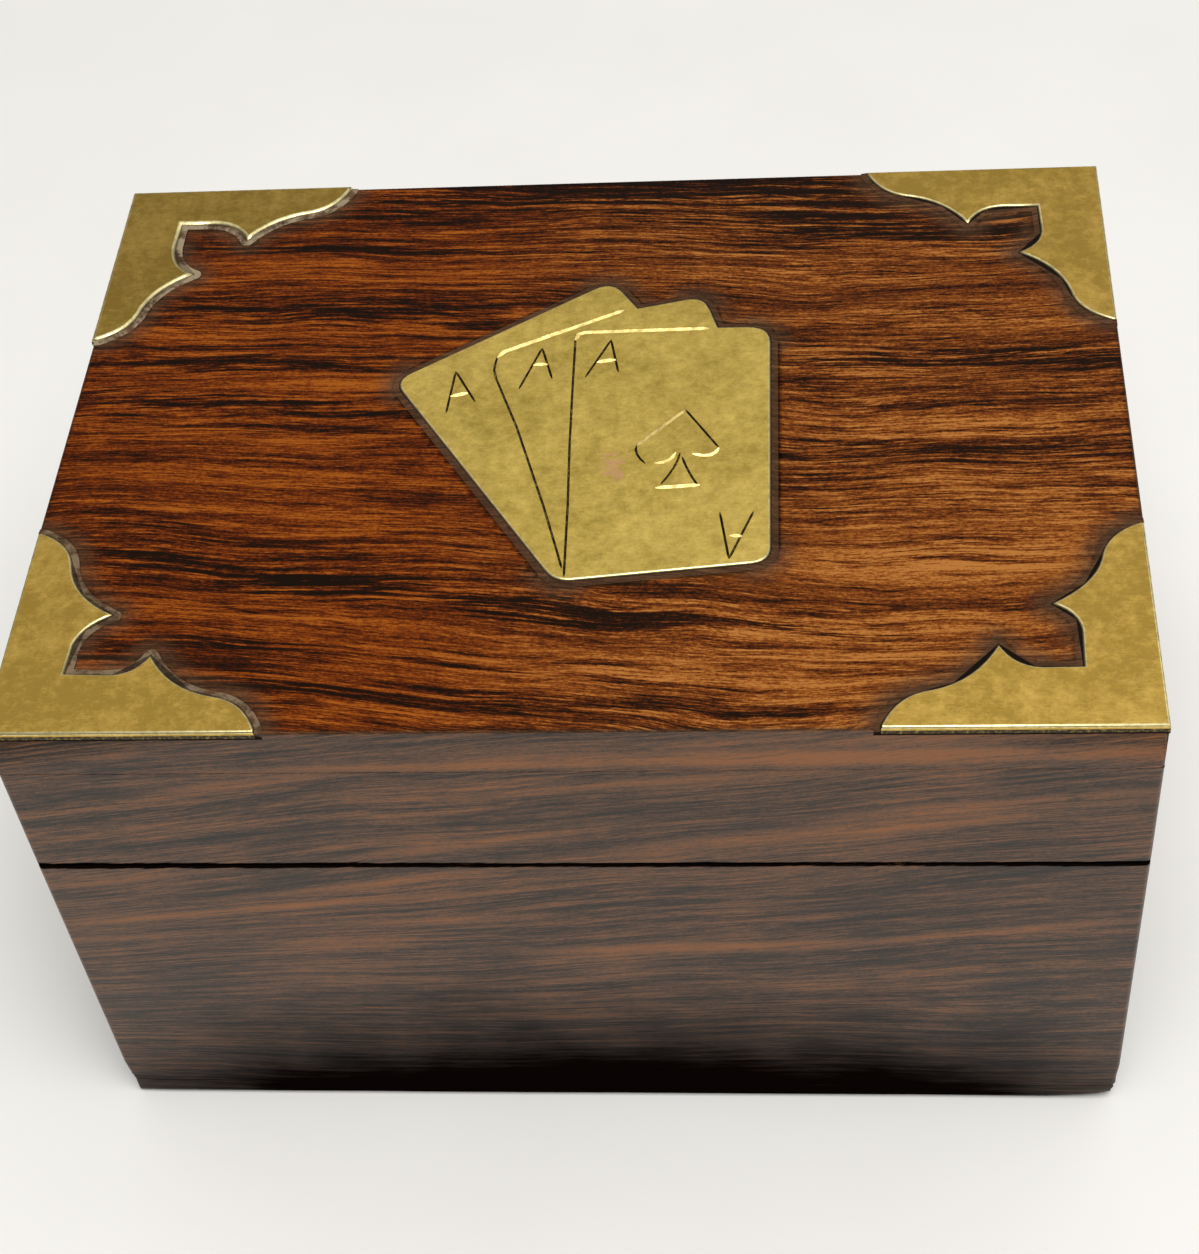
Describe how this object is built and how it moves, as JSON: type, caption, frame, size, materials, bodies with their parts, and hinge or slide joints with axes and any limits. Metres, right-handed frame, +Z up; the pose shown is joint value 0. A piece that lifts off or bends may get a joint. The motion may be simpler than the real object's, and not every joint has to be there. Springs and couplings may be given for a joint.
{
  "type": "playing card box",
  "caption": "Hinged wooden storage box for playing cards with a divided base, felt linings, brass corner plates and a brass fanned-cards inlay let into the lid.",
  "frame": {"origin": "centre of the underside, on the surface that the box stands on", "axes": "+X to the right as seen from the front, +Y to the hinges at the back, +Z up"},
  "size_m": [0.1525, 0.1147, 0.091],
  "materials": {
    "rosewood_top": "satin, streaked",
    "rosewood_wall": "satin, dark",
    "brass_inlay": "hand-filed, aged",
    "brass_hinge": "satin",
    "brass_screw": "satin",
    "hinge_pin": "plain",
    "lac": "dull, hand-filled",
    "felt": "felt"
  },
  "bodies": {
    "base": {"floor_panel": "rosewood_wall", "base_front_wall": "rosewood_wall", "base_back_wall": "rosewood_wall", "base_left_wall": "rosewood_wall", "base_right_wall": "rosewood_wall", "centre_divider": "rosewood_wall", "felt_floor_left": "felt", "felt_floor_right": "felt", "hinge_left_base_leaf": "brass_hinge", "hinge_left_pin": "hinge_pin", "hinge_left_base_screws": "brass_screw", "hinge_right_base_leaf": "brass_hinge", "hinge_right_pin": "hinge_pin", "hinge_right_base_screws": "brass_screw"},
    "lid": {"lid_front_wall": "rosewood_wall", "lid_back_wall": "rosewood_wall", "lid_left_wall": "rosewood_wall", "lid_right_wall": "rosewood_wall", "lid_top_board": "rosewood_top", "felt_lid": "felt", "corner_plate_front_left": "brass_inlay", "corner_plate_front_right": "brass_inlay", "corner_plate_back_left": "brass_inlay", "corner_plate_back_right": "brass_inlay", "card_plate": "brass_inlay", "lac_front_left": "lac", "lac_front_right": "lac", "lac_back_left": "lac", "lac_back_right": "lac", "lac_card": "lac", "hinge_left_lid_leaf": "brass_hinge", "hinge_left_lid_screws": "brass_screw", "hinge_right_lid_leaf": "brass_hinge", "hinge_right_lid_screws": "brass_screw"}
  },
  "joints": [
    {"name": "lid_hinge", "type": "hinge", "parent": "base", "child": "lid", "pos_m": [0, 0.0575, 0.0615], "axis": [-1, 0, 0], "range_deg": [0, 180]}
  ]
}
